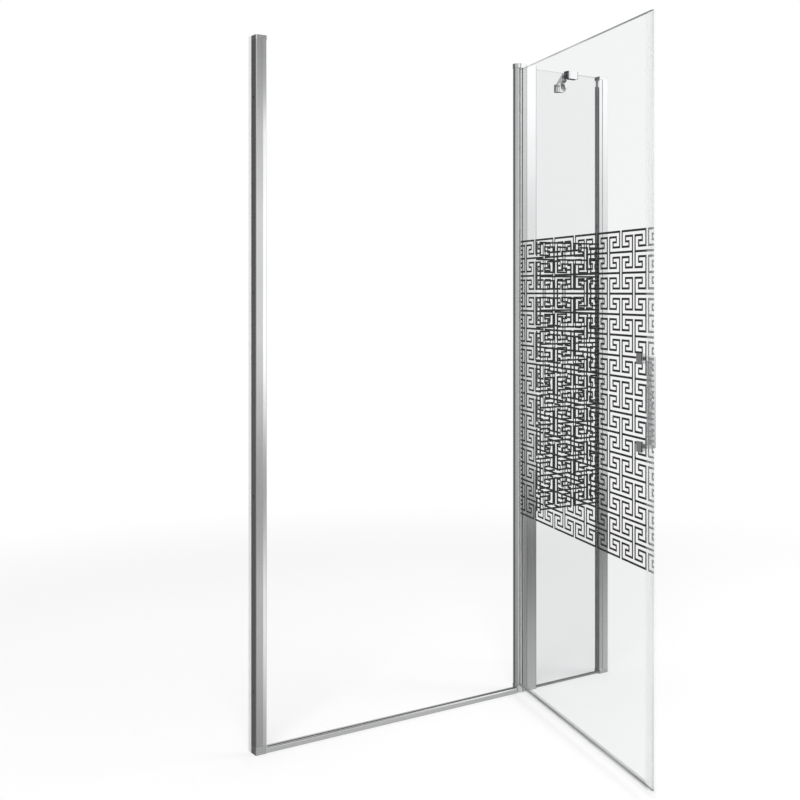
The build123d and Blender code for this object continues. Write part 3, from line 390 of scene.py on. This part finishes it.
# Strike magnet strip: a grey soft PVC extrusion, pressed into the lipped pocket of the
# strike profile.
def soft_extrusion(name, pale, deep, sheen=0.45, grain_scale=1200.0, along=(1, 1, 0.03)):
    """Rubber or soft plastic with a fine drawn grain; pale and deep are its two tones."""
    material, end = new_finish(name)
    place = end.add("ShaderNodeTexCoord", output="Object")
    stretched = end.add("ShaderNodeMapping", {}, {"Vector": place, "Scale": along})
    grain = end.add(
        "ShaderNodeTexNoise", {}, {"Vector": stretched, "Scale": grain_scale, "Detail": 4.0}
    )
    dust = end.add("ShaderNodeTexNoise", {}, {"Vector": place, "Scale": 30.0, "Detail": 5.0})
    colour = mixed(dust.step(0.3, 0.75), (*pale, 1), (*deep, 1))
    bump = end.add("ShaderNodeBump", {}, {"Strength": 0.3, "Distance": 0.00004, "Height": grain})
    coat(end, {"Base Color": colour, "Roughness": grain * 0.2 + (sheen - 0.1), "Normal": bump})
    return material


dress(
    soft_extrusion("magnet_pvc", (0.62, 0.64, 0.64), (0.55, 0.57, 0.57)),
    "strike_magnet_strip",
)


# Wall seal strip: a pale soft strip behind the strike channel, along the wall. It is the
# palest of the soft extrusions.
dress(soft_extrusion("pale_seal", (0.9, 0.91, 0.9), (0.84, 0.85, 0.84)), "wall_seal_strip")


# Threshold: a low bright extrusion between the uprights that turns water back, with a
# black rubber line let into its top.
dress(
    bright_extrusion("threshold_aluminium", along=(0.004, 1, 1), tone=0.84, sheen=0.14),
    "threshold_strip",
)
black_rubber = soft_extrusion(
    "black_rubber", (0.035, 0.035, 0.036), (0.055, 0.055, 0.055), sheen=0.55, along=(0.03, 1, 1)
)
dress(black_rubber, "threshold_gasket")


# Pivot post: a bright extrusion with a long hollow on its face, in which the round hinge
# profile turns. Chromed blocks close it at top and bottom and carry the steel pins.
dress(bright_extrusion("pivot_aluminium", tone=0.64, sheen=0.16), "pivot_post")
dress(chromed("block_chrome", tone=0.78, sheen=0.1), "top_pivot_block", "bottom_pivot_block")
dress(
    soft_extrusion("white_nylon", (0.86, 0.86, 0.84), (0.8, 0.8, 0.78), sheen=0.4, along=(1, 1, 1)),
    "hinge_bushes",
    "pivot_washers",
)


# Fixed side panel: a wide flat profile beside the post grips one edge of the pane, and
# the right-hand profile the other. Grey rubber beads wedge the glass in both.
# The panel profile's two dark strips are painted shade: dark lines along its face beside the hinge
# profile, where the gap falls in shade.
dress(
    bright_extrusion(
        "panel_aluminium", tone=0.93, sheen=0.08, painted_dark_strips=((0.2790, 0.2806), (0.3138, 0.3170))
    ),
    "fixed_panel_profile",
)
dress(bright_extrusion("right_aluminium", tone=0.86, sheen=0.1), "right_glass_profile")
grey_rubber = soft_extrusion("grey_rubber", (0.33, 0.34, 0.34), (0.27, 0.28, 0.28), sheen=0.5)
dress(grey_rubber, "panel_glazing_gaskets", "right_glazing_gaskets")
dress(
    soft_extrusion("bottom_rubber", (0.3, 0.31, 0.31), (0.22, 0.23, 0.23), along=(0.03, 1, 1)),
    "fixed_glass_bottom_seal",
)


def clear_pane(name, side, top, bottom, edge_and_painted_line_tone, cover):
    """Toughened clear glass; side is the way its faces look. It is clear face on and mirrors
    the room at a glance. Its ground ends take the edge tone as the glass's own edge colour. A
    narrow strip of each face along top and bottom is painted in that tone too: a painted dark
    line that stands in for the refraction and reflection of the solid edge. cover is how much
    of what is behind them they hide, here more and there less."""
    material, end = new_finish(name)
    facing = end.add("ShaderNodeTexCoord", output="Normal")
    flat = end.add(
        "ShaderNodeVectorMath", {"operation": "DOT_PRODUCT"}, {0: facing, 1: side}, output="Value"
    )
    ground = 1 - flat.maths("ABSOLUTE", flat).step(0.4, 0.8)
    place = end.add("ShaderNodeTexCoord", output="Object")
    upward = end.add("ShaderNodeSeparateXYZ", {}, {0: place}, output="Z")
    # Painted dark line: strips of the face near top and bottom take the edge tone, in place of the
    # dark refraction and reflection of the solid edge.
    outer, inner = 0.0015, 0.0021
    at_top = upward.step(top - inner, top - outer)
    at_bottom = 1 - upward.step(bottom + outer, bottom + inner)
    painted_edge_line = at_top + at_bottom
    edge = painted_edge_line.maths("MAXIMUM", painted_edge_line, ground * 0.4)
    roller = end.add("ShaderNodeTexNoise", {}, {"Vector": place, "Scale": 3.0, "Detail": 1.0})
    bump = end.add("ShaderNodeBump", {}, {"Strength": 0.05, "Distance": 0.0005, "Height": roller})
    glance = end.add("ShaderNodeLayerWeight", {}, {"Blend": 0.5, "Normal": bump}, output="Facing")
    surface = end.add(
        "ShaderNodeBsdfPrincipled",
        {},
        {
            "Base Color": mixed(edge, (1, 1, 1, 1), edge_and_painted_line_tone),
            "Metallic": 1 - edge,
            "Roughness": edge * 0.3,
            "Normal": bump,
        },
    )
    clear = end.add("ShaderNodeBsdfTransparent", {}, {"Color": (0.959, 0.962, 0.963, 1)})
    mirror = glance.maths("POWER", glance, 5.0) * 0.2 + 0.01
    uneven = end.add("ShaderNodeTexNoise", {}, {"Vector": place, "Scale": 2.4, "Detail": 1.0})
    share = mirror * (1 - edge) + edge * cover * (0.45 + uneven.step(0.38, 0.62) * 0.55)
    end.take(end.add("ShaderNodeMixShader", {}, {0: share, 1: clear, 2: surface}))
    return material


fixed_pane = clear_pane(
    "fixed_pane",
    side=(0, 1, 0),
    top=1.847,
    bottom=0.003,
    edge_and_painted_line_tone=(0.36, 0.4, 0.39, 1),
    cover=0.35,
)
dress(fixed_pane, "fixed_glass")


# Door leaf: the pane stands in the round hinge profile, which turns in the hollow of the
# post. The leaf is open in the photograph; along it and out of it are the two directions
# that its own pieces are placed by.
pivot = Vector((0.258, 0.0, 0.0))
open_angle = math.radians(74.5)
leaf_along = Vector((-math.cos(open_angle), -math.sin(open_angle), 0.0))
leaf_out = Vector((math.sin(open_angle), -math.cos(open_angle), 0.0))
dress(bright_extrusion("hinge_aluminium", tone=0.78, sheen=0.11), "hinge_profile")
dress(
    soft_extrusion("pale_gasket", (0.72, 0.73, 0.73), (0.64, 0.65, 0.65), sheen=0.4),
    "hinge_gasket",
)
door_pane = clear_pane(
    "door_pane",
    side=tuple(leaf_out),
    top=1.837,
    bottom=0.024,
    edge_and_painted_line_tone=(0.1, 0.12, 0.12, 1),
    cover=0.75,
)
dress(door_pane, "door_glass")


# Printed band: a meander of square hooks in black ceramic ink, fired on to the outer face
# of both panes. Pairs of uprights, in two kinds set half a repeat apart, are joined by
# hooks and long bars; the lower half mirrors the upper.
band_top, band_row = 1.3299, 0.0127
band_rows = 63
stroke_up, stroke_flat = 0.0060, 0.0055
pair_gap, hook_step = 0.0133, 0.0178
pair_pitch = pair_gap + 3 * hook_step
repeats_each_way = 14
shortest_bar = 0.0004
ink_thick = 0.00012
door_face, fixed_face = 0.00302, -0.00802

ink, ink_end = new_finish("black_ink")
ink_place = ink_end.add("ShaderNodeTexCoord", output="Object")
ink_cloud = ink_end.add(
    "ShaderNodeTexNoise", {}, {"Vector": ink_place, "Scale": 420.0, "Detail": 6.0}
)
ink_tone = mixed(ink_cloud.step(0.35, 0.7), (0.008, 0.008, 0.009, 1), (0.02, 0.02, 0.021, 1))
ink_bump = ink_end.add(
    "ShaderNodeBump", {}, {"Strength": 0.2, "Distance": 0.00003, "Height": ink_cloud}
)
coat(
    ink_end,
    {
        "Base Color": ink_tone,
        "Roughness": ink_cloud * 0.2 + 0.3,
        "Specular IOR Level": 0.06,
        "Normal": ink_bump,
    },
)


def printed_band(name, first_pair, low, high, corner, along, out, body):
    """The band between low and high, measured along the pane from corner. first_pair is where
    the middle of one pair of the kind that starts in the top border stands."""
    shape = bmesh.new()

    def bar(left, right, top, bottom):
        left, right = max(left, low), min(right, high)
        if right - left < shortest_bar:
            return
        flat = bmesh.ops.create_grid(shape, x_segments=1, y_segments=1, size=0.5)
        bmesh.ops.scale(shape, verts=flat["verts"], vec=(right - left, top - bottom, 1))
        bmesh.ops.translate(
            shape, verts=flat["verts"], vec=((left + right) / 2, (top + bottom) / 2, 0)
        )

    def level(row, flipped):
        return band_top - band_row * (band_rows - row if flipped else row)

    def across(left, right, row, flipped):
        middle = level(row, flipped)
        bar(left, right, middle + stroke_flat / 2, middle - stroke_flat / 2)

    def upright(middle, first_row, last_row, flipped, ends=1):
        one, two = sorted((level(first_row, flipped), level(last_row, flipped)))
        bar(
            middle - stroke_up / 2,
            middle + stroke_up / 2,
            two + ends * stroke_flat / 2,
            one - ends * stroke_flat / 2,
        )

    half = stroke_up / 2
    for repeat in range(-repeats_each_way, repeats_each_way + 1):
        kind_b = first_pair + repeat * 2 * pair_pitch
        kind_a = kind_b - pair_pitch
        if kind_b + 2 * pair_pitch < low or kind_a - pair_pitch > high:
            continue
        for side in (-1, 1):
            b_line = kind_b + side * pair_gap / 2
            a_line = kind_a + side * pair_gap / 2
            for flipped in (False, True):
                upright(b_line, 0, 3, flipped)
                for first_row in (5, 13, 21):
                    upright(b_line, first_row, first_row + 6, flipped)
                for first_row in (1, 9, 17, 25):
                    upright(a_line, first_row, first_row + 6, flipped)
            upright(b_line, 29, 34, False)
        a_right = kind_a + pair_gap / 2
        a_left = kind_a - pair_gap / 2
        b_right = kind_b + pair_gap / 2
        b_left = kind_b - pair_gap / 2
        for flipped in (False, True):
            for base in (0, 8, 16, 24):
                across(b_right - 2 * pair_pitch + half, b_left - half, base, flipped)
                across(a_right + half, a_left + 2 * pair_pitch - half, base + 4, flipped)
                for outer, inner, last in ((1, 2, 3), (7, 6, 5)):
                    # the hook that leaves the A pair's right line and ends on B's left line
                    across(a_right + half, a_right + 2 * hook_step + half, base + outer, flipped)
                    across(
                        a_right + hook_step - half,
                        a_right + 2 * hook_step + half,
                        base + inner,
                        flipped,
                    )
                    across(a_right + hook_step - half, b_left - half, base + last, flipped)
                    upright(a_right + 2 * hook_step, base + outer, base + inner, flipped, ends=-1)
                    upright(a_right + hook_step, base + inner, base + last, flipped, ends=-1)
                    # and its mirror image on the other side of the B pair
                    next_a = a_left + 2 * pair_pitch
                    across(next_a - 2 * hook_step - half, next_a - half, base + outer, flipped)
                    across(
                        next_a - 2 * hook_step - half,
                        next_a - hook_step + half,
                        base + inner,
                        flipped,
                    )
                    across(b_right + half, next_a - hook_step + half, base + last, flipped)
                    upright(next_a - 2 * hook_step, base + outer, base + inner, flipped, ends=-1)
                    upright(next_a - hook_step, base + inner, base + last, flipped, ends=-1)
    bmesh.ops.solidify(shape, geom=shape.faces[:], thickness=ink_thick)
    bmesh.ops.recalc_face_normals(shape, faces=shape.faces[:])
    depth = [vertex.co.z for vertex in shape.verts]
    bmesh.ops.translate(shape, verts=shape.verts, vec=(0, 0, -min(depth)))
    turn = Matrix(
        (
            (along.x, 0, out.x, corner.x),
            (along.y, 0, out.y, corner.y),
            (0, 1, 0, 0),
            (0, 0, 0, 1),
        )
    )
    bmesh.ops.transform(shape, matrix=turn, verts=shape.verts)
    if turn.to_3x3().determinant() < 0:
        bmesh.ops.reverse_faces(shape, faces=shape.faces[:])
    return finished_mesh(name, shape, ink, body)


door_print = printed_band(
    "door_printed_band",
    first_pair=0.7865,
    low=0.0160,
    high=0.8190,
    corner=pivot + leaf_out * door_face,
    along=leaf_along,
    out=leaf_out,
    body="door",
)
fixed_print = printed_band(
    "fixed_printed_band",
    first_pair=0.3300,
    low=0.3172,
    high=0.5638,
    corner=Vector((0, fixed_face, 0)),
    along=Vector((1, 0, 0)),
    out=Vector((0, -1, 0)),
    body="frame",
)


# Seals of the leaf: clear PVC, pushed on to the free edge with its magnet bulb, and on to
# the bottom edge with a wiping lip. The handle's washers are of the same kind.
def clear_soft(name, pale, cover, sheen=0.25):
    """Clear soft PVC; cover is how much of what is behind it the plastic hides."""
    material, end = new_finish(name)
    place = end.add("ShaderNodeTexCoord", output="Object")
    drawn = end.add("ShaderNodeMapping", {}, {"Vector": place, "Scale": (1, 1, 0.01)})
    haze = end.add("ShaderNodeTexNoise", {}, {"Vector": drawn, "Scale": 240.0, "Detail": 2.0})
    colour = mixed(haze.step(0.3, 0.7), (*pale, 1), tuple(v * 0.96 for v in pale) + (1,))
    bump = end.add("ShaderNodeBump", {}, {"Strength": 0.1, "Distance": 0.00004, "Height": haze})
    coat(
        end,
        {
            "Base Color": colour,
            "Roughness": haze * 0.1 + (sheen - 0.05),
            "Alpha": haze.step(0.2, 0.8) * 0.03 + cover,
            "Normal": bump,
        },
    )
    return material


dress(clear_soft("clear_pvc", (0.88, 0.89, 0.9), 0.1), "free_edge_seal")
dress(clear_soft("sweep_pvc", (0.5, 0.51, 0.52), 0.26), "bottom_sweep_seal")
dress(clear_soft("washer_pvc", (0.8, 0.82, 0.82), 0.3), "handle_washers")


# Handle: a flat chromed bar bent to a bracket outside, with two small square plates
# inside; studs through the glass hold the two together.
dress(chromed("handle_chrome", tone=0.6, sheen=0.12), "handle_bar")
# The plates' chrome is a darker copy of the bar's, at a tone of 0.36: painted shade.
dress(chromed("plate_chrome_painted_darker", tone=0.36, sheen=0.14), "handle_plates")


# Brace: a clamp on the top edge of the fixed pane, a short curved arm and a foot on the
# wall, all chromed castings. Rubber pads line the clamp's jaws.
dress(chromed("brace_chrome", tone=0.84, sheen=0.05), "brace_arm", "brace_wall_foot")
# The clamp's two dark strips near its ends are a painted dark reflection; the polished middle
# between them stays bright.
clamp_chrome = bright_extrusion(
    "clamp_chrome",
    along=(1, 1, 1),
    tone=0.84,
    sheen=0.05,
    lines=0.1,
    painted_dark_strips=((0.4405, 0.4455), (0.4778, 0.4815)),
)
dress(clamp_chrome, "brace_glass_clamp")
dress(black_rubber, "brace_clamp_pads")
